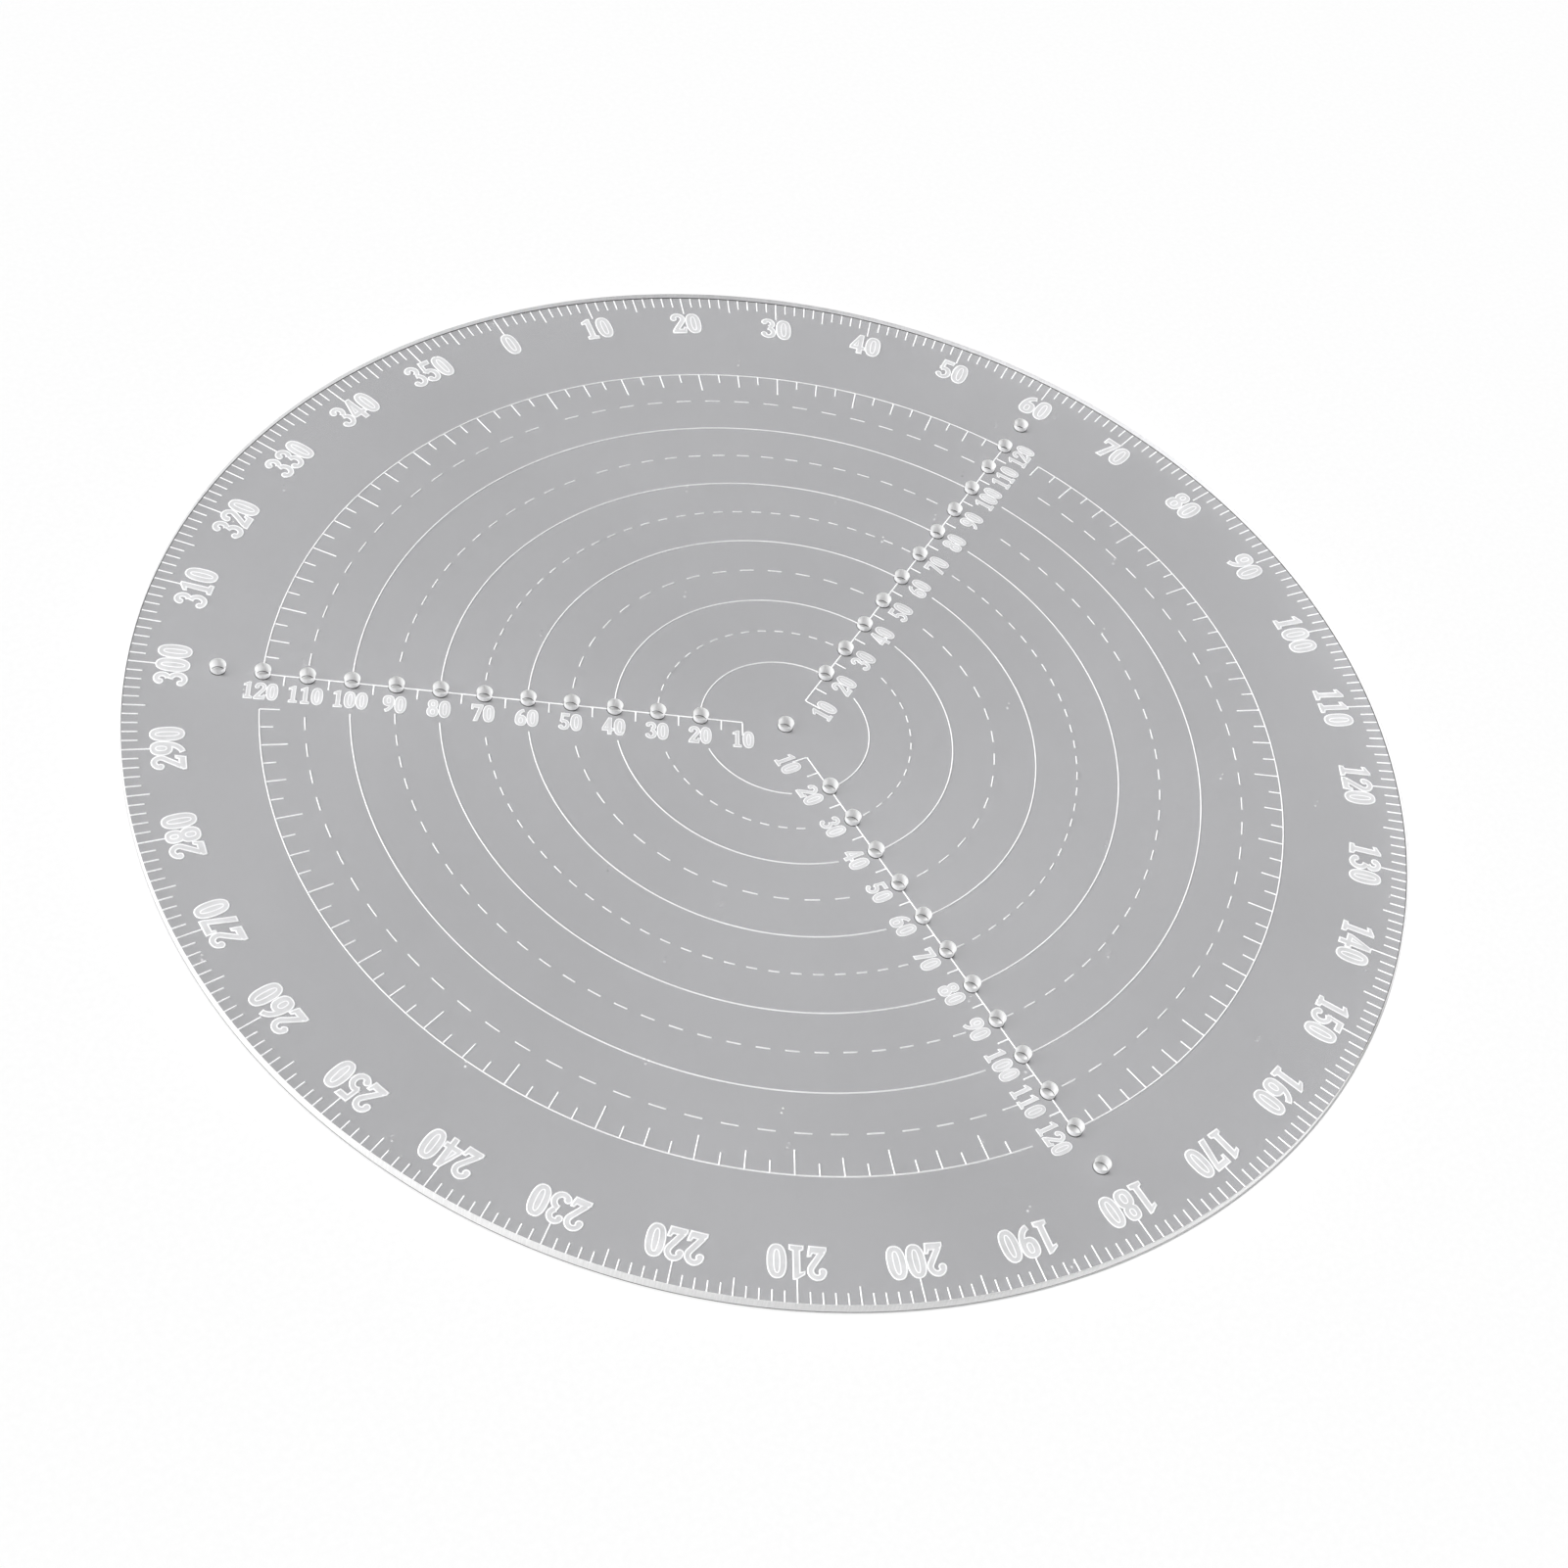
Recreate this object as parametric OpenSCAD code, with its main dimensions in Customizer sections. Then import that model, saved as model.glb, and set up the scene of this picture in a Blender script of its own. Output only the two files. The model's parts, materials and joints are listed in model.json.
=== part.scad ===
// Disc-shaped circle template: a clear acrylic sheet with a rim scale in degrees, concentric
// circles and three rows of scriber holes. Marks are filled engravings, a little proud of the sheet.
// Bearings are degrees clockwise from +Y. The origin is the middle of the underside; +Z is up.

/* [Sheet] */
// Diameter of the disc
disc_d = 300; // [295:1:320]
// Thickness of the sheet
sheet_t = 3; // [2:0.5:8]

/* [Scriber holes] */
// Diameter of every hole
hole_d = 3.5; // [2:0.1:4]
// Radius of the innermost hole in a row
first_hole_r = 20; // [20:10:60]
// Radius of the outermost hole in a row
last_hole_r = 130; // [70:10:130]

/* [Rim scale] */
// Length of the 1-degree ticks, from the rim
tick_1_len = 3.7; // [2:0.1:4.4]
// Length of the 5-degree ticks
tick_5_len = 5.2; // [4.5:0.1:5.8]
// Length of the 10-degree ticks
tick_10_len = 6.3; // [5.9:0.1:6.4]
// Height of the degree numerals
rim_numeral_h = 7.4; // [5:0.1:7.4]
// Radius of the middle of the degree numerals
rim_numeral_r = 139.9; // [138:0.1:139.9]

/* [Circles] */
// Radius of the outermost circle
last_ring_r = 120; // [120:10:120]
// Arc left free for the radius numerals, from a row to where a circle starts again
label_gap = 9.2; // [8.5:0.1:10]
// Height of the radius numerals
radius_numeral_h = 4.9; // [3:0.1:5]
// Distance of the numerals' feet from their row
radius_numeral_offset = 7.6; // [6:0.1:8]
// Length of the ticks across a row, on the numerals' side
row_tick_len = 3; // [2:0.1:3.5]

/* [Marks] */
// Width of an engraved line
line_w = 0.4; // [0.2:0.05:0.6]
// How far the fill of a mark stands above the sheet
mark_h = 0.1; // [0.05:0.05:0.2]
// How deep a mark bites into the sheet
mark_bite = 0.02; // [0.01:0.01:0.05]

/* [Hidden] */
disc_r = disc_d / 2;
hole_r = hole_d / 2;
row_step = 120;
ROWS = [60, 180, 300];        // bearings of the three hole rows
hole_pitch = 10;              // along a row
first_row_r = 10;             // where a row's line starts
end_tick_len = 4;             // cross tick at a row's inner end

solid_rings = [20, 40, 60, 80, 100];
dashed_rings = [30, 50, 70, 90, 110];

// Dashed circles: [radius, pitch, dash, [first dash, last dash] of each stretch], in degrees. The
// stretches are the three sectors between the rows, and the last of them is in two halves.
dash_plans = [
    [30, 8, 4, [[82, 170], [202, 274], [306, 354], [362, 410]]],
    [50, 8, 4, [[74, 170], [194, 282], [306, 354], [362, 410]]],
    [70, 4, 2, [[68, 176], [188, 288], [304, 356], [360, 416]]],
    [90, 4, 2, [[69, 177], [185, 293], [305, 353], [359, 415]]],
    [110, 4, 2, [[68, 176], [184, 292], [302, 354], [360, 416]]],
];

least_gap_angle = 5;          // that the numerals take out of a circle
ring_tick_step = 2.5;
ring_tick_lens = [3, 4.5, 6]; // each 2.5, 5 and 10 degrees

numeral_pitch = 0.55;         // width of a digit and its gap, as a part of its height
glyph_w = 5.4;                // digits are drawn 10 high and this wide
stroke = 1.5;                 // heavy stroke of a digit, on the same scale

plate_colour = [0.72, 0.73, 0.74, 0.55];
mark_colour = "white";

function three(n) = str(n < 10 ? "00" : n < 100 ? "0" : "", n);
function quarter_name(q) = str("degree_numerals_", three(q * 90), "_to_", three(q * 90 + 80));
function ring_name(r) = str("circle_", three(r));
function row_name(kind, row) = str(kind, "_row_", three(row));

// ---- placing ----

// Children at a bearing and radius, with their +Y pointing outwards.
module at(bearing, r) {
    rotate([0, 0, -bearing]) translate([0, r, 0]) children();
}

// Flat children become a filled engraving on the sheet's upper face.
module engrave() {
    translate([0, 0, sheet_t - mark_bite]) linear_extrude(mark_h + mark_bite) children();
}

// A straight mark, from radius r outwards, over a row line or a bearing.
module radial_line(bearing, r, length) {
    at(bearing, r) engrave() translate([-line_w / 2, 0]) square([line_w, length]);
}

// A curved mark between two bearings.
module arc_line(r, from, to) {
    rotate([0, 0, 90 - to])
        rotate_extrude(angle = to - from, $fn = 720)
            translate([r - line_w / 2, sheet_t - mark_bite]) square([line_w, mark_h + mark_bite]);
}

// Half the angle that a scriber hole takes out of a circle.
function hole_angle(r) = asin(hole_r / r);
// The angle that the radius numerals take out of a circle.
function gap_angle(r) = max(label_gap / r * 180 / PI, least_gap_angle);

// The numerals lie after the first two rows and before the third.
function arc_start(row, r) = row + (row == 300 ? hole_angle(r) : gap_angle(r));
function arc_end(row, r) = row + row_step - (row == 180 ? gap_angle(r) : hole_angle(r));

// ---- digits, drawn 10 high ----

function bulge(v) = sign(v) * pow(abs(v), 0.82);
function oval(cx, cy, rx, ry) =
    [for (a = [0:12:359]) [cx + rx * bulge(cos(a)), cy + ry * bulge(sin(a))]];
// Points along an ellipse, from angle a0 to a1 in twelve steps.
function bow(cx, cy, rx, ry, a0, a1) =
    [for (i = [0:12]) let (a = a0 + (a1 - a0) * i / 12) [cx + rx * cos(a), cy + ry * sin(a)]];
function side(path, i) =
    let (d = path[min(i + 1, len(path) - 1)] - path[max(i - 1, 0)]) [-d[1], d[0]] / norm(d);
// The outline of a stroke of width w along a path.
function band(path, w) = concat(
    [for (i = [0:len(path) - 1]) path[i] + side(path, i) * w / 2],
    [for (i = [len(path) - 1:-1:0]) path[i] - side(path, i) * w / 2]
);
function turned(points) = [for (p = points) [glyph_w, 10] - p];

module shape(points, h) {
    polygon([for (p = points) p * h / 10]);
}

module ball(x, y, r, h) {
    translate([x, y] * h / 10) circle(r * h / 10, $fn = 32);
}

module zero(h) {
    difference() {
        shape(oval(2.7, 5, 2.55, 5), h);
        shape(oval(2.7, 5, 0.85, 3.5), h);
    }
}

module one(h) {
    shape([
        [1, 0], [4.7, 0], [4.7, 1.1], [3.7, 1.5], [3.7, 10], [2.9, 10],
        [0.7, 8.6], [0.7, 7.7], [2, 8.1], [2, 1.5], [1, 1.1],
    ], h);
}

module two(h) {
    shape(band(concat(bow(2.75, 7.3, 1.8, 1.95, 170, -35), [[1.2, 1.4]]), stroke), h);
    shape([[0.2, 0], [4.8, 0], [5.25, 2.9], [4.5, 2.9], [4.1, 1.9], [1.2, 1.9], [0.2, 1.1]], h);
    ball(1.15, 7.4, 0.95, h);
}

module three_digit(h) {
    shape(band(bow(2.5, 7.5, 1.65, 1.75, 150, -70), stroke), h);
    shape(band(bow(2.5, 2.95, 1.95, 2.2, 85, -150), stroke), h);
    ball(1.2, 8.1, 0.9, h);
    ball(1.05, 1.9, 0.9, h);
}

module four(h) {
    difference() {
        shape([
            [2.9, 10], [4.3, 10], [4.3, 3.7], [5.3, 3.7], [5.3, 2.2], [4.3, 2.2],
            [4.3, 0], [2.7, 0], [2.7, 2.2], [0.1, 2.2], [0.1, 3.5],
        ], h);
        shape([[2.7, 7.2], [2.7, 3.7], [1.3, 3.7]], h);
    }
}

module five(h) {
    shape([[1.2, 10], [5, 10], [4.7, 8.3], [2.1, 8.3], [1.9, 6], [0.8, 5]], h);
    shape(band(bow(2.35, 3.1, 1.95, 2.35, 130, -150), stroke), h);
    ball(1.05, 1.8, 0.9, h);
}

module six_parts(h, flip) {
    bowl = oval(2.7, 3.1, 2.55, 3.1);
    eye = oval(2.7, 3, 0.85, 1.6);
    tail = band(bow(4.5, 3.6, 3.55, 5.6, 180, 98), stroke);
    difference() {
        union() {
            shape(flip ? turned(bowl) : bowl, h);
            shape(flip ? turned(tail) : tail, h);
        }
        shape(flip ? turned(eye) : eye, h);
    }
}

module seven(h) {
    shape([
        [0.2, 7], [0.2, 10], [5.3, 10], [5.3, 9], [3.1, 0],
        [1.3, 0], [3.6, 8.2], [1, 8.2], [0.8, 7],
    ], h);
}

module eight(h) {
    difference() {
        union() {
            shape(oval(2.7, 7.5, 2.2, 2.5), h);
            shape(oval(2.7, 2.9, 2.55, 2.9), h);
        }
        shape(oval(2.7, 7.55, 0.75, 1.15), h);
        shape(oval(2.7, 2.85, 0.9, 1.5), h);
    }
}

module digit(d, h) {
    if (d == "0") zero(h);
    if (d == "1") one(h);
    if (d == "2") two(h);
    if (d == "3") three_digit(h);
    if (d == "4") four(h);
    if (d == "5") five(h);
    if (d == "6") six_parts(h, false);
    if (d == "7") seven(h);
    if (d == "8") eight(h);
    if (d == "9") six_parts(h, true);
}

// A number centred on X, standing on the X axis.
module number(n, h) {
    digits = str(n);
    count = len(digits);
    for (i = [0:count - 1]) {
        x = (i - (count - 1) / 2) * numeral_pitch * h - glyph_w / 20 * h;
        translate([x, 0]) digit(digits[i], h);
    }
}

// ---- sub-parts ----

module sheet() {
    color(plate_colour) difference() {
        cylinder(h = sheet_t, d = disc_d, $fn = 360);
        translate([0, 0, -1]) cylinder(h = sheet_t + 2, d = hole_d, $fn = 48);
        for (row = ROWS, r = [first_hole_r:hole_pitch:last_hole_r])
            at(row, r) translate([0, 0, -1]) cylinder(h = sheet_t + 2, d = hole_d, $fn = 48);
    }
}

// Rim ticks at the bearings that are whole steps, but not whole coarser steps.
module degree_ticks(step, coarser, length) {
    color(mark_colour)
        for (bearing = [0:step:359])
            if (coarser == 0 || bearing % coarser != 0)
                radial_line(bearing, disc_r - length, length - line_w / 2);
}

module degree_numerals(q) {
    color(mark_colour)
        for (bearing = [q * 90:10:q * 90 + 80])
            at(bearing, rim_numeral_r - rim_numeral_h / 2)
                engrave() number(bearing, rim_numeral_h);
}

module solid_circle(r) {
    color(mark_colour)
        for (row = ROWS) arc_line(r, arc_start(row, r), arc_end(row, r));
}

module dashed_circle(plan) {
    pitch = plan[1];
    dash = plan[2];
    color(mark_colour)
        for (stretch = plan[3], start = [stretch[0]:pitch:stretch[1]])
            arc_line(plan[0], start, start + dash);
}

// Inward ticks on the outermost circle. The row at 180 has none where the circle starts again.
module circle_120_ticks() {
    color(mark_colour)
        for (row = ROWS, after_row = [ring_tick_step:ring_tick_step:row_step - ring_tick_step]) {
            bearing = row + after_row;
            drawn = bearing >= arc_start(row, last_ring_r) && bearing <= arc_end(row, last_ring_r);
            bare = row == 180 && after_row == least_gap_angle;
            size = after_row % 10 == 0 ? 2 : after_row % 5 == 0 ? 1 : 0;
            length = ring_tick_lens[size];
            if (drawn && !bare) radial_line(bearing, last_ring_r - length, length);
        }
}

// The line along a row stops at the edge of each hole.
module row_line(row) {
    color(mark_colour)
        for (r = [first_row_r:hole_pitch:last_ring_r - hole_pitch]) {
            start = r < first_hole_r ? r : r + hole_r;
            radial_line(row, start, r + hole_pitch - hole_r - start);
        }
}

// Which side of a row its numerals and ticks are on: clockwise is 1.
function numeral_side(row) = row == 300 ? -1 : 1;

module row_ticks(row) {
    color(mark_colour) {
        for (r = [first_row_r + 5:hole_pitch:last_ring_r]) cross_tick(row, r, row_tick_len);
        cross_tick(row, first_row_r, end_tick_len);
    }
}

module cross_tick(row, r, length) {
    at(row, r) engrave()
        translate([numeral_side(row) > 0 ? line_w / 2 : -length, -line_w / 2])
            square([length - line_w / 2, line_w]);
}

module row_numerals(row) {
    color(mark_colour)
        for (r = [first_row_r:hole_pitch:last_ring_r])
            at(row, r) translate([numeral_side(row) * radius_numeral_offset, 0, 0])
                rotate([0, 0, 90 * numeral_side(row)]) engrave() number(r, radius_numeral_h);
}

sheet();
degree_ticks(1, 5, tick_1_len);  // degree_ticks_1
degree_ticks(5, 10, tick_5_len);  // degree_ticks_5
degree_ticks(10, 0, tick_10_len);  // degree_ticks_10
for (q = [0:3]) degree_numerals(q);
for (r = solid_rings) solid_circle(r);
for (plan = dash_plans) dashed_circle(plan);
solid_circle(last_ring_r);
circle_120_ticks();
for (row = ROWS) {
    row_line(row);
    row_ticks(row);
    row_numerals(row);
}
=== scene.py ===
"""A clear acrylic circle template: its polished sheet, frosted cut edges and engraved marks.

Lengths are in metres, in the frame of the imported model. Bearings are clockwise from +Y.
"""

import json
import math

import bmesh
import bpy
from mathutils import Matrix, Vector
from mathutils.geometry import delaunay_2d_cdt

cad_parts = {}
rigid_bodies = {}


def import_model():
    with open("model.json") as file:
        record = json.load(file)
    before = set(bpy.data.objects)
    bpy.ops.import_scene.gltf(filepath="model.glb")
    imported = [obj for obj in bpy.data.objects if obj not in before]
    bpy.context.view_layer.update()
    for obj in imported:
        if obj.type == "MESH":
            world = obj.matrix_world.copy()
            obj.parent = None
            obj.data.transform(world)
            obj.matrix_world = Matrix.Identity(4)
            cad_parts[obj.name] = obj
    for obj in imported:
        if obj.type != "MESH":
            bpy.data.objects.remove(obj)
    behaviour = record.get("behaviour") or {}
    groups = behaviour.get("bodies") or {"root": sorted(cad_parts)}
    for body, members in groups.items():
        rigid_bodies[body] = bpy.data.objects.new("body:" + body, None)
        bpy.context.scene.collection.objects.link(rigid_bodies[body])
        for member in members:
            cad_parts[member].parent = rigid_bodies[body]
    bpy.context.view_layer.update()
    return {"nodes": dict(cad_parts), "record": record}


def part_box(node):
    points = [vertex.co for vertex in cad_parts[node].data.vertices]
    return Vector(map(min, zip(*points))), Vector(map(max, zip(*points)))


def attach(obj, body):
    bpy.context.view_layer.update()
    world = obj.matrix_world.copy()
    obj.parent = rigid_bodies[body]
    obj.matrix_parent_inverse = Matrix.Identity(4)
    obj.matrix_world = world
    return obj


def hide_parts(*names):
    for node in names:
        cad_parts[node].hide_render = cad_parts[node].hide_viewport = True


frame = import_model()

MM = 0.001

# ---- sizes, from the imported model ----

sheet_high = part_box("sheet")[1]
SHEET_T = sheet_high.z
DISC_R = sheet_high.x
BORES = [    # (x, y, radius)
    (*mount["pos_m"][:2], mount["dims"]["r_mm"] * MM)
    for mount in frame["record"]["mounts"] if mount["kind"] == "bore"
]

# ---- sizes of the finish ----

EDGE_ROUND = 0.12 * MM      # the broken edge between a face and a cut wall
EDGE_STEPS = 4
RIM_STEPS = 720
BORE_STEPS = 48
FACE_PITCH = 6 * MM         # of the points inside the sheet's faces
FACE_MARGIN = 1 * MM        # of those points from a bore
ARC_STEP = math.radians(0.75)    # of the engraved circles

MARK_BASE = 0.02 * MM       # height of the marks' undersides
LINE_SHOULDER = 0.15 * MM   # sloped side of a line
RIDGE = {"degree": 0.23 * MM, "numerals": 0.13 * MM}    # half the width of a numeral's outline
# (across, in half widths; up, where 1 is the mark's full height)
RIDGE_PROFILE = [(-1, 0), (-0.75, 0.55), (-0.3, 0.95), (0.3, 0.95), (0.75, 0.55), (1, 0)]
FILL_DIP = 0.04 * MM        # of a numeral's frosted fill below its outline
LONGEST_MITRE = 1.8         # at a sharp corner of an outline, in half widths

WELD = 1e-7                 # vertices closer than this are one
LEVEL = 1e-6                # heights closer than this are the same
TRIANGLE_EPSILON = 1e-5     # of the faces' triangulation, in millimetres

TOP, RIM, BORE, UNDER = range(4)    # the sheet's material slots
FLAT, SIDE = range(2)               # a mark's material slots

# ---- the view and the light ----

VIEW_TARGET = Vector((-9.8, -15.4, 2.4)) * MM
VIEW_DISTANCE = 585.3 * MM
VIEW_BEARING = math.radians(-137.21)
VIEW_ELEVATION = math.radians(49.44)
VIEW_ROLL = math.radians(15.38)
LENS = 58.92
SENSOR = 36
CLIP_START = 10 * MM

SKY = 0.40                  # strength of the light from all round
BACKDROP = 1.0              # what the camera sees past the floor
KEY_STRENGTH = 4.4
KEY_SPREAD = math.radians(30)
KEY_BEARING = math.radians(-67)
KEY_ELEVATION = math.radians(28)

FLOOR_R = 3.0
FLOOR_STEPS = 96
FLOOR_GAP = 0.15 * MM       # below the sheet


# ---- materials ----

ACRYLIC_IOR = 1.49
DULL_IOR = 1.01             # bends and mirrors next to nothing


class Shader:
    """A node material being built around its Principled BSDF."""

    def __init__(self, name, **constants):
        self.material = bpy.data.materials.new(name)
        self.material.use_nodes = True
        self.tree = self.material.node_tree
        self.principled = self.tree.nodes["Principled BSDF"]
        self.output = self.tree.nodes["Material Output"]
        for socket, value in constants.items():
            self.principled.inputs[socket.replace("_", " ")].default_value = value
        self.objects = self.node("ShaderNodeTexCoord").outputs["Object"]

    def node(self, kind, inputs=None, **settings):
        made = self.tree.nodes.new(kind)
        for name, value in settings.items():
            setattr(made, name, value)
        for name, value in (inputs or {}).items():
            if isinstance(value, bpy.types.NodeSocket):
                self.tree.links.new(value, made.inputs[name])
            else:
                made.inputs[name].default_value = value
        return made

    def link(self, output, socket):
        self.tree.links.new(output, self.principled.inputs[socket])

    def noise(self, scale, detail=2.0, stretch=(1, 1, 1), turn=0.0):
        """Noise over object coordinates. Scale is in cycles a metre."""
        place = self.node("ShaderNodeMapping", {
            "Vector": self.objects, "Scale": stretch, "Rotation": (0, 0, turn),
        })
        made = self.node("ShaderNodeTexNoise", {
            "Vector": place.outputs["Vector"], "Scale": scale, "Detail": detail,
        })
        return made.outputs["Fac"]

    def ramp(self, value, low, high, to_low, to_high):
        made = self.node("ShaderNodeMapRange", {
            "Value": value, "From Min": low, "From Max": high, "To Min": to_low, "To Max": to_high,
        })
        return made.outputs["Result"]

    def math(self, operation, a, b):
        return self.node("ShaderNodeMath", {0: a, 1: b}, operation=operation).outputs[0]

    def mix(self, share, first, second):
        made = self.node("ShaderNodeMixShader", {"Fac": share, 1: first, 2: second})
        return made.outputs["Shader"]

    def grey(self, value, blue=1.0):
        made = self.node("ShaderNodeCombineColor", {
            "Red": value, "Green": value, "Blue": self.math("MULTIPLY", value, blue),
        })
        return made.outputs["Color"]

    def bump(self, height, distance, strength=1.0):
        made = self.node("ShaderNodeBump", {
            "Height": height, "Distance": distance, "Strength": strength,
        })
        self.link(made.outputs["Normal"], "Normal")

    def lets_light_by(self, shader, reach=None):
        """Light passes straight through. With a reach, the outside shades what lies nearer."""
        passing = self.node("ShaderNodeBsdfTransparent", {"Color": (1, 1, 1, 1)})
        rays = self.node("ShaderNodeLightPath")
        share = rays.outputs["Is Shadow Ray"]
        if reach:
            inside = self.node("ShaderNodeNewGeometry").outputs["Backfacing"]
            far = self.math("GREATER_THAN", rays.outputs["Ray Length"], reach)
            share = self.math("MULTIPLY", share, self.math("MAXIMUM", inside, far))
        mixed = self.mix(share, shader, passing.outputs["BSDF"])
        self.tree.links.new(mixed, self.output.inputs["Surface"])


def clear_acrylic(name, clearest, ior):
    """Polished sheet: faintly grey, or grey as painted shade where clearest is low; hairline
    scratches, smudges and a few specks.
    """
    s = Shader(name, Transmission_Weight=1.0, IOR=ior)
    # Faint random grey; where clearest is low, painted shade that darkens all seen through the
    # sheet.
    tint_and_painted_shade = s.ramp(s.noise(9, detail=3), 0.3, 0.7, 0.92 * clearest, clearest)
    s.link(s.grey(tint_and_painted_shade, blue=1.02), "Base Color")

    smudge = s.ramp(s.noise(22, detail=4), 0.45, 0.75, 0.0, 0.05)
    hairline = s.noise(40, detail=1, stretch=(1, 60, 1), turn=0.6)
    crossing = s.noise(35, detail=1, stretch=(1, 70, 1), turn=2.1)
    scratches = s.math(
        "MAXIMUM", s.ramp(hairline, 0.74, 0.80, 0.0, 1.0), s.ramp(crossing, 0.75, 0.81, 0.0, 1.0))
    rough = s.math("ADD", smudge, s.math("MULTIPLY", scratches, 0.12))
    s.link(s.math("ADD", rough, 0.008), "Roughness")
    waves = s.noise(6, detail=1)
    s.bump(s.math("SUBTRACT", waves, s.math("MULTIPLY", scratches, 0.1)), distance=0.02 * MM)

    cells = s.node("ShaderNodeTexVoronoi", {"Vector": s.objects, "Scale": 55.0},
                   voronoi_dimensions="2D")
    near = s.ramp(cells.outputs["Distance"], 0.010, 0.022, 1.0, 0.0)
    chosen = s.node("ShaderNodeSeparateColor", {"Color": cells.outputs["Color"]})
    speck = s.math("MULTIPLY", near, s.ramp(chosen.outputs["Red"], 0.72, 1.0, 0.0, 0.7))
    dust = s.node("ShaderNodeBsdfDiffuse", {"Color": (0.85, 0.85, 0.84, 1)})
    s.lets_light_by(s.mix(speck, s.principled.outputs["BSDF"], dust.outputs["BSDF"]))
    return s.material


def cut_wall(name, reach, glow, foot_height, painted_foot_shade, inner_painted_shade):
    """Laser-cut wall: frosted, with fine upright striations and a darker foot, which is painted
    shade along its lower edge.

    Glow is the share of light that it lets through. The inner shade darkens its other side,
    which is seen through the sheet, as painted shade.
    """
    s = Shader(name, Roughness=0.42, IOR=ACRYLIC_IOR)
    uv = s.node("ShaderNodeUVMap", uv_map="wall").outputs["UV"]
    upright = s.node("ShaderNodeMapping", {"Vector": uv, "Scale": (1, 0.04, 1)})
    striae = s.node("ShaderNodeTexNoise", {
        "Vector": upright.outputs["Vector"], "Scale": 3200.0, "Detail": 2.0,
    }).outputs["Fac"]
    height = s.node("ShaderNodeSeparateXYZ", {"Vector": uv}).outputs["Y"]
    # Painted shade: the foot, the lowest part of the wall, is darker.
    above_foot = s.ramp(height, 0.7 * foot_height, 1.3 * foot_height, painted_foot_shade, 1.0)
    shade = s.math("MULTIPLY", s.ramp(striae, 0.3, 0.7, 0.86, 0.97), above_foot)
    # Painted shade: the side seen through the sheet is darker.
    behind = s.node("ShaderNodeNewGeometry").outputs["Backfacing"]
    shade = s.math("MULTIPLY", shade, s.ramp(behind, 0.0, 1.0, 1.0, inner_painted_shade))
    s.link(s.grey(shade), "Base Color")
    s.bump(striae, distance=0.03 * MM, strength=0.6)
    glowing = s.node("ShaderNodeBsdfTranslucent", {"Color": s.grey(shade)})
    frosted = s.mix(glow, s.principled.outputs["BSDF"], glowing.outputs["BSDF"])
    s.lets_light_by(frosted, reach)
    return s.material


def engraving(name, shade, grain):
    """Frosted engraving: white, with the grain that the laser leaves."""
    s = Shader(name, Roughness=0.6, IOR=ACRYLIC_IOR)
    fine = s.noise(9000)
    patches = s.ramp(s.noise(260), 0.3, 0.7, -grain, grain)
    tone = s.math("ADD", s.ramp(fine, 0.3, 0.7, -grain, grain), patches)
    s.link(s.grey(s.math("ADD", tone, shade)), "Base Color")
    s.bump(fine, distance=0.02 * MM, strength=0.5)
    s.lets_light_by(s.principled.outputs["BSDF"])
    return s.material


def floor_paper():
    s = Shader("floor_paper", Roughness=0.9, Specular_IOR_Level=0.1)
    s.link(s.grey(s.ramp(s.noise(700, detail=3), 0.3, 0.7, 0.93, 0.95)), "Base Color")
    s.bump(s.noise(2500), distance=0.02 * MM, strength=0.3)
    return s.material


# ---- the sheet's mesh ----

def as_mesh(bm, name):
    mesh = bpy.data.meshes.new(name)
    bm.to_mesh(mesh)
    bm.free()
    return mesh


def circle(x, y, r, steps):
    turns = [2 * math.pi * i / steps for i in range(steps)]
    return [(x + r * math.cos(a), y + r * math.sin(a)) for a in turns]


def edge_levels():
    """(how far in from the wall, height) down a cut wall, with its two broken edges."""
    angles = [math.pi / 2 * i / (EDGE_STEPS - 1) for i in range(EDGE_STEPS)]
    rounded = [(EDGE_ROUND * (1 - math.sin(a)), EDGE_ROUND * (1 - math.cos(a))) for a in angles]
    upper = [(inset, SHEET_T - depth) for inset, depth in rounded]
    return upper + rounded[::-1]


def wall_loops(bm, uv, x, y, r, material):
    """Makes the wall of the rim or of a bore, and returns its loops from the top down."""
    side, steps = (1, RIM_STEPS) if material == RIM else (-1, BORE_STEPS)
    levels = edge_levels()
    loops = [
        [bm.verts.new((*p, z)) for p in circle(x, y, r - side * inset, steps)]
        for inset, z in levels
    ]
    for level in range(len(levels) - 1):
        for i in range(steps):
            spots = [(i, level), (i, level + 1), (i + 1, level + 1), (i + 1, level)][::side]
            face = bm.faces.new([loops[row][turn % steps] for turn, row in spots])
            face.material_index = material
            face.smooth = True
            for corner, (turn, row) in zip(face.loops, spots):
                corner[uv].uv = (2 * math.pi * r * turn / steps, levels[row][1])
    return loops


def clear_of_bores(point, margin):
    return all(math.dist(point, (x, y)) > r + margin for x, y, r in BORES)


def face_points():
    """Points spread over a flat face, between the bores."""
    points = []
    for ring in range(1, int(DISC_R / FACE_PITCH)):
        r = ring * FACE_PITCH
        steps = max(6, round(2 * math.pi * r / FACE_PITCH))
        points += [p for p in circle(0, 0, r, steps) if clear_of_bores(p, FACE_MARGIN)]
    return points


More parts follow.
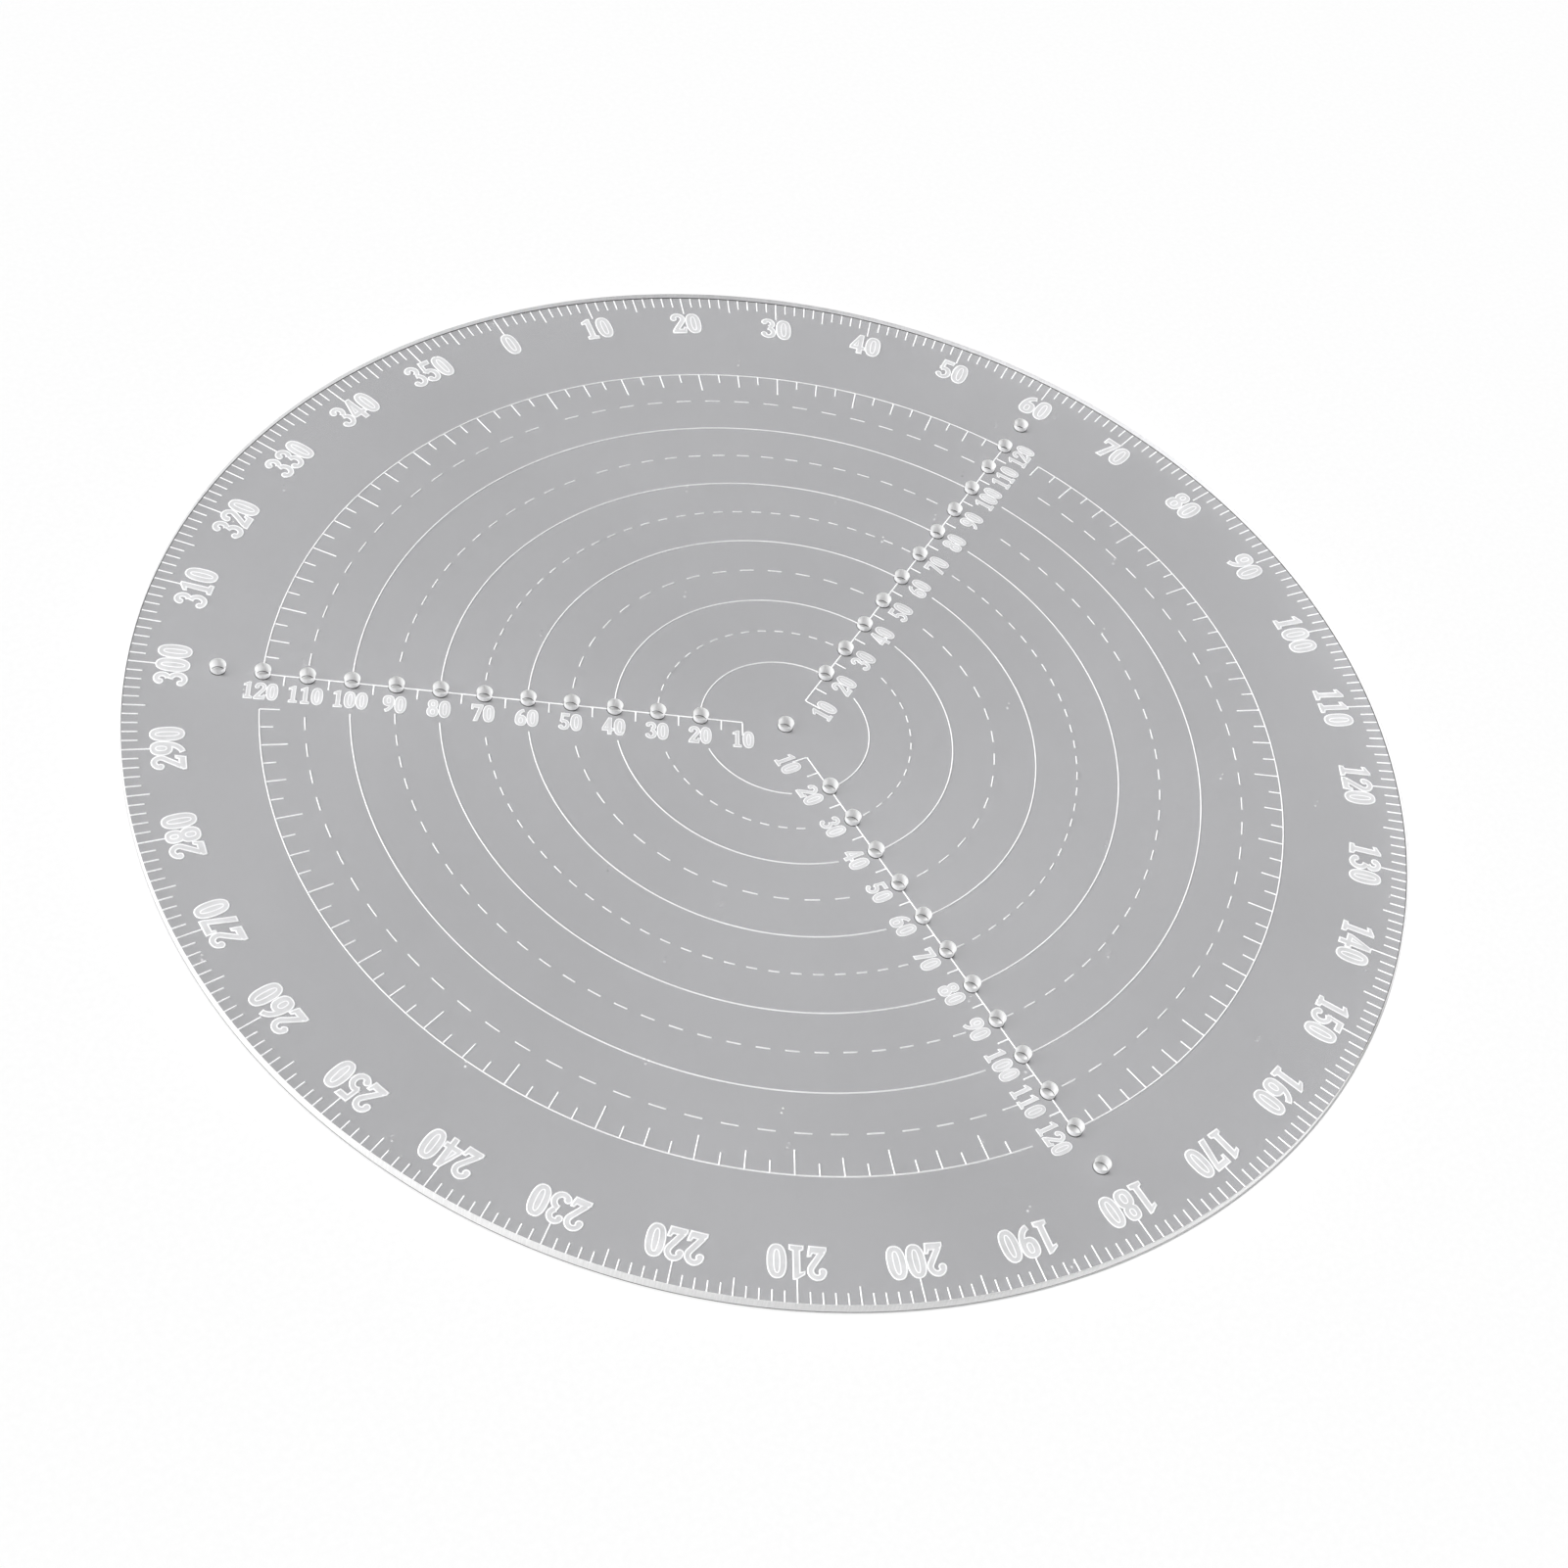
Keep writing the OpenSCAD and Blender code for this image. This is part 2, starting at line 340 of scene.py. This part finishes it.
def flat_faces(bm, top, bottom):
    """Makes the two flat faces, which share one triangulation with the bores left open."""
    points = [v.co.to_2d() / MM for loop in top for v in loop]
    points += [Vector(p) / MM for p in face_points()]
    edges = []
    for loop in top:
        start = len(edges)
        edges += [(start + i, start + (i + 1) % len(loop)) for i in range(len(loop))]
    flat, _, triangles, origins, _, _ = delaunay_2d_cdt(points, edges, [], 0, TRIANGLE_EPSILON)
    middles = [sum((flat[i] for i in t), Vector((0, 0))) / 3 * MM for t in triangles]
    solid = [t for t, middle in zip(triangles, middles) if clear_of_bores(middle, EDGE_ROUND)]

    for loops, z, material, order in ((top, SHEET_T, TOP, 1), (bottom, 0, UNDER, -1)):
        known = [v for loop in loops for v in loop]
        verts = []
        for p, origin in zip(flat, origins):
            on_edge = [i for i in origin if i < len(known)]
            verts.append(known[on_edge[0]] if on_edge else bm.verts.new((p.x * MM, p.y * MM, z)))
        for triangle in solid:
            face = bm.faces.new([verts[i] for i in triangle][::order])
            face.material_index = material


def sheet_mesh():
    bm = bmesh.new()
    uv = bm.loops.layers.uv.new("wall")
    walls = [wall_loops(bm, uv, 0, 0, DISC_R, RIM)]
    walls += [wall_loops(bm, uv, *bore, BORE) for bore in BORES]
    flat_faces(bm, [loops[0] for loops in walls], [loops[-1] for loops in walls])
    bmesh.ops.recalc_face_normals(bm, faces=bm.faces)
    return as_mesh(bm, "sheet_polished")


# ---- the marks' meshes ----

def is_circle(node):
    return node.startswith("circle") and "ticks" not in node


def islands(bm):
    """The connected groups of faces, in the same order on every run."""
    left, found = dict.fromkeys(bm.faces), []
    while left:
        group, waiting = [], [left.popitem()[0]]
        while waiting:
            face = waiting.pop()
            group.append(face)
            for near in (f for e in face.edges for f in e.link_faces if f in left):
                del left[near]
                waiting.append(near)
        found.append(group)
    return found


def flat_tops(node):
    """A CAD mark's upper faces, welded."""
    bm = bmesh.new()
    bm.from_mesh(frame["nodes"][node].data)
    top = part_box(node)[1].z
    bmesh.ops.remove_doubles(bm, verts=bm.verts, dist=WELD)
    rest = [f for f in bm.faces if min(v.co.z for v in f.verts) < top - LEVEL]
    bmesh.ops.delete(bm, geom=rest, context="FACES")
    return bm


def smooth_arcs(node):
    """A CAD circle's arcs, in finer steps."""
    coarse = flat_tops(node)
    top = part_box(node)[1].z
    fine = bmesh.new()
    for group in islands(coarse):
        spots = [v.co.to_2d() for f in group for v in f.verts]
        middle = sum(spots, Vector((0, 0)))
        radii = [p.length for p in spots]
        angles = [middle.angle_signed(p) for p in spots]
        first = math.atan2(middle.y, middle.x) - max(angles)
        span = max(angles) - min(angles)
        steps = max(2, math.ceil(span / ARC_STEP))
        rows = [
            [fine.verts.new((r * math.cos(first + span * i / steps),
                             r * math.sin(first + span * i / steps), top))
             for r in (min(radii), max(radii))]
            for i in range(steps + 1)
        ]
        for a, b in zip(rows, rows[1:]):
            fine.faces.new([a[0], a[1], b[1], b[0]])
    coarse.free()
    return fine


def twice_area(loop):
    return sum(a.cross(b) for a, b in zip(loop, loop[1:] + loop[:1]))


def outline_loops(group):
    """The closed outlines of a group of faces, as points, with the outermost last."""
    left = dict.fromkeys(e for f in group for e in f.edges if len(e.link_faces) == 1)
    loops = []
    while left:
        edge = left.popitem()[0]
        first, here = edge.verts
        loop = [first.co.to_2d()]
        while here != first:
            loop.append(here.co.to_2d())
            edge = next(e for e in here.link_edges if e in left)
            del left[edge]
            here = edge.other_vert(here)
        loops.append(loop)
    return sorted(loops, key=lambda loop: abs(twice_area(loop)))


def prism(bm, loop, low, high):
    """A closed prism over an outline."""
    floor_verts = [bm.verts.new((*p, low)) for p in loop]
    roof_verts = [bm.verts.new((*p, high)) for p in loop]
    flats = [bm.faces.new(floor_verts[::-1]), bm.faces.new(roof_verts)]
    for i in range(len(loop)):
        bm.faces.new([floor_verts[i - 1], floor_verts[i], roof_verts[i], roof_verts[i - 1]])
    for flat in flats:
        flat.normal_update()
    bmesh.ops.triangulate(bm, faces=flats)


def ridge(bm, loop, half, low, high):
    """A rounded ridge along a closed outline."""
    rows = []
    for i, p in enumerate(loop):
        before = (p - loop[i - 1]).normalized()
        after = (loop[(i + 1) % len(loop)] - p).normalized()
        across = (before + after).orthogonal().normalized()
        mitre = 1 / max(abs(across.dot(before.orthogonal())), 1 / LONGEST_MITRE)
        rows.append([
            bm.verts.new((*(p + across * mitre * half * offset), low + (high - low) * height))
            for offset, height in RIDGE_PROFILE
        ])
    for a, b in zip(rows, rows[1:] + rows[:1]):
        for i in range(len(RIDGE_PROFILE)):
            face = bm.faces.new([a[i - 1], a[i], b[i], b[i - 1]])
            face.material_index = SIDE
            face.smooth = i > 0


def lowered(bm, node):
    """Finishes a mark, and moves it down to lie in the sheet's lower face."""
    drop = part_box(node)[0].z - MARK_BASE
    bmesh.ops.translate(bm, verts=bm.verts, vec=(0, 0, -drop))
    return as_mesh(bm, "engraved_" + node)


def numeral_mesh(node):
    """Numerals as the laser leaves them: a rounded outline round a frosted fill."""
    coarse = flat_tops(node)
    low, high = (corner.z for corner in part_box(node))
    bm = bmesh.new()
    for group in islands(coarse):
        loops = outline_loops(group)
        prism(bm, loops[-1], low, high - FILL_DIP)
        for loop in loops:
            ridge(bm, loop, RIDGE[node.split("_")[0]], low, high)
    coarse.free()
    bmesh.ops.recalc_face_normals(bm, faces=bm.faces)
    return lowered(bm, node)


def line_mesh(node):
    """Lines with sloped shoulders."""
    bm = smooth_arcs(node) if is_circle(node) else flat_tops(node)
    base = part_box(node)[0].z

    bm.normal_update()
    tops = bm.faces[:]
    under = bmesh.ops.duplicate(bm, geom=bm.verts[:] + bm.edges[:] + tops)["geom"]
    under_faces = [g for g in under if isinstance(g, bmesh.types.BMFace)]
    bmesh.ops.reverse_faces(bm, faces=under_faces)
    for v in (g for g in under if isinstance(g, bmesh.types.BMVert)):
        v.co.z = base

    shoulder = bmesh.ops.inset_region(
        bm, faces=tops, thickness=LINE_SHOULDER, use_boundary=True, use_even_offset=True)["faces"]
    kept = {v for f in tops for v in f.verts}
    for v in {v for f in shoulder for v in f.verts} - kept:
        v.co.z = base
    for f in shoulder:
        f.material_index = SIDE
    bmesh.ops.remove_doubles(bm, verts=bm.verts, dist=WELD)
    return lowered(bm, node)


# ---- the object ----

def in_scene(name, data):
    made = bpy.data.objects.new(name, data)
    bpy.context.scene.collection.objects.link(made)
    return made


def piece(mesh, materials, node):
    made = in_scene(mesh.name, mesh)
    for m in materials:
        mesh.materials.append(m)
    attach(made, "root")
    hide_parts(node)


def sheet():
    """The polished sheet, with its frosted cut walls."""
    looks = {
        TOP: clear_acrylic("clear_acrylic", clearest=0.94, ior=ACRYLIC_IOR),
        # Painted shade: each wall's darker foot, and the rim's darker side seen through the sheet.
        RIM: cut_wall("cut_rim", reach=0.9 * MM, glow=0.4,
                      foot_height=0.32 * MM, painted_foot_shade=0.06, inner_painted_shade=0.92),
        BORE: cut_wall("cut_bore", reach=3.0 * MM, glow=0.5,
                       foot_height=0.34 * MM, painted_foot_shade=0.05, inner_painted_shade=1.0),
        # This face holds the deep grey, painted shade that darkens all seen through the sheet. It
        # hardly mirrors, because its glare would hide the marks.
        UNDER: clear_acrylic("clear_acrylic_under_painted_shade", clearest=0.262, ior=DULL_IOR),
    }
    materials = [looks[slot] for slot in (TOP, RIM, BORE, UNDER)]
    piece(sheet_mesh(), materials, "sheet")


def marks():
    """Each mark has one material for its flat top or fill and one for its sides or outline."""
    lines = {
        FLAT: engraving("engraved_line", shade=0.94, grain=0.03),
        SIDE: engraving("engraved_side", shade=0.94, grain=0.03),
    }
    # Painted shade: the circles are darker than the other lines, for the side light that catches
    # them less.
    circles = {
        FLAT: engraving("engraved_circle", shade=0.76, grain=0.04),
        SIDE: engraving("engraved_circle_side", shade=0.80, grain=0.03),
    }
    numerals = {
        FLAT: engraving("engraved_fill", shade=0.62, grain=0.05),
        SIDE: engraving("engraved_outline", shade=0.90, grain=0.03),
    }
    for name in sorted(frame["nodes"]):
        if name == "sheet":
            continue
        if "numerals" in name:
            mesh, looks = numeral_mesh(name), numerals
        elif is_circle(name):
            mesh, looks = line_mesh(name), circles
        else:
            mesh, looks = line_mesh(name), lines
        piece(mesh, [looks[FLAT], looks[SIDE]], name)


# ---- floor, light and camera ----

def floor():
    bm = bmesh.new()
    bmesh.ops.create_circle(bm, cap_ends=True, segments=FLOOR_STEPS, radius=FLOOR_R)
    made = in_scene("floor", as_mesh(bm, "floor"))
    made.location.z = -FLOOR_GAP
    made.data.materials.append(floor_paper())


def from_origin(bearing, elevation):
    flat = math.cos(elevation)
    return Vector((math.sin(bearing) * flat, math.cos(bearing) * flat, math.sin(elevation)))


def key_light():
    """A broad, even light from one side, which picks out the sloped sides of the marks."""
    data = bpy.data.lights.new("key", "SUN")
    data.energy = KEY_STRENGTH
    data.angle = KEY_SPREAD
    made = in_scene("key", data)
    made.visible_glossy = False     # no glare patch on the polished face
    place = from_origin(KEY_BEARING, KEY_ELEVATION)
    made.rotation_euler = place.to_track_quat("Z", "Y").to_euler()


def studio():
    """Even light from all round, against a white backdrop."""
    world = bpy.data.worlds.new("studio")
    world.use_nodes = True
    tree = world.node_tree
    backdrop = tree.nodes["Background"]
    backdrop.inputs["Color"].default_value = (1, 1, 1, 1)
    strength = tree.nodes.new("ShaderNodeMapRange")
    strength.inputs["To Min"].default_value = SKY
    strength.inputs["To Max"].default_value = BACKDROP
    seen = tree.nodes.new("ShaderNodeLightPath").outputs["Is Camera Ray"]
    tree.links.new(seen, strength.inputs["Value"])
    tree.links.new(strength.outputs["Result"], backdrop.inputs["Strength"])
    bpy.context.scene.world = world


def camera():
    data = bpy.data.cameras.new("camera")
    data.lens = LENS
    data.sensor_width = SENSOR
    data.clip_start = CLIP_START
    made = in_scene("camera", data)
    back = from_origin(VIEW_BEARING, VIEW_ELEVATION)
    right = (-back).cross(Vector((0, 0, 1))).normalized()
    up = right.cross(-back)
    right, up = (
        right * math.cos(VIEW_ROLL) + up * math.sin(VIEW_ROLL),
        up * math.cos(VIEW_ROLL) - right * math.sin(VIEW_ROLL),
    )
    turn = Matrix((right, up, back)).transposed().to_4x4()
    made.matrix_world = Matrix.Translation(VIEW_TARGET + back * VIEW_DISTANCE) @ turn
    bpy.context.scene.camera = made


sheet()
marks()
floor()
key_light()
studio()
camera()
bpy.context.scene.view_settings.view_transform = "Standard"
